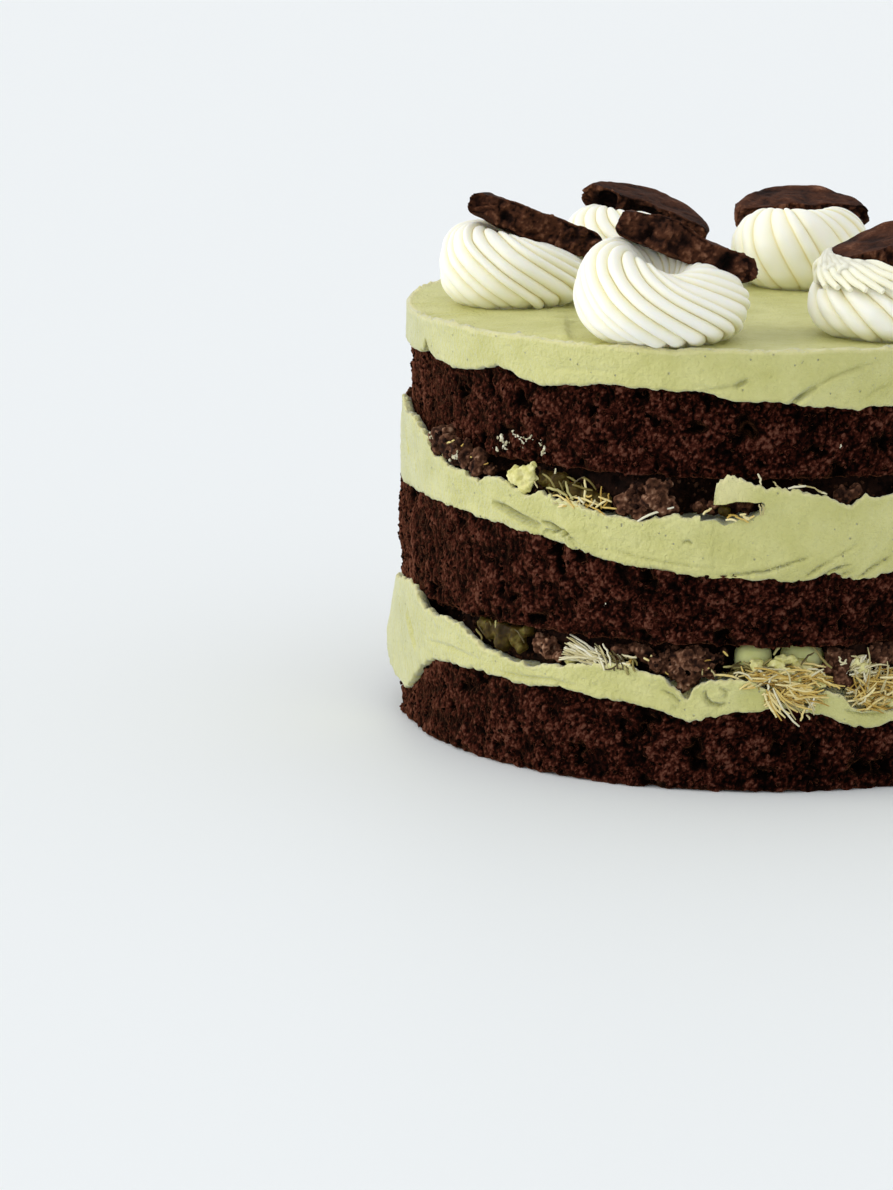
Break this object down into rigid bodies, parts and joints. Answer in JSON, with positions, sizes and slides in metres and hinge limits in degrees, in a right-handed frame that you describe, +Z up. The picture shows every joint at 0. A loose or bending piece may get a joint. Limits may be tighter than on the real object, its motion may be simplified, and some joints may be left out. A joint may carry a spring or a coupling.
{
  "type": "layer cake",
  "caption": "Round chocolate layer cake with pistachio cream, shredded pastry and crumble fillings, and piped cream swirls on top with half chocolate biscuits pressed in.",
  "frame": {"origin": "middle of the flat underside of the bottom sponge", "axes": "+Z up through the layers, -Y towards the side where the cream between the layers has torn into a tongue"},
  "size_m": [0.1569, 0.1547, 0.1187],
  "materials": {
    "sponge": "matt, open crumb",
    "cream": "satin, spread with a palette knife",
    "crunch": "matt, coarse shreds and crumbs",
    "dollop": "satin, smooth",
    "swirl": "satin, piped",
    "biscuit": "matt baked face with a rough broken edge"
  },
  "bodies": {
    "root": {"sponge_bottom": "sponge", "cream_lower": "cream", "crunch_lower": "crunch", "sponge_middle": "sponge", "cream_upper": "cream", "crunch_upper": "crunch", "sponge_top": "sponge", "icing_top": "cream", "dollop_1": "dollop", "dollop_2": "dollop", "dollop_3": "dollop", "dollop_4": "dollop", "dollop_5": "dollop", "swirl_1": "swirl", "swirl_2": "swirl", "swirl_3": "swirl", "swirl_4": "swirl", "swirl_5": "swirl", "swirl_6": "swirl", "biscuit_1": "biscuit", "biscuit_2": "biscuit", "biscuit_3": "biscuit", "biscuit_4": "biscuit", "biscuit_5": "biscuit", "biscuit_6": "biscuit"}
  },
  "joints": []
}
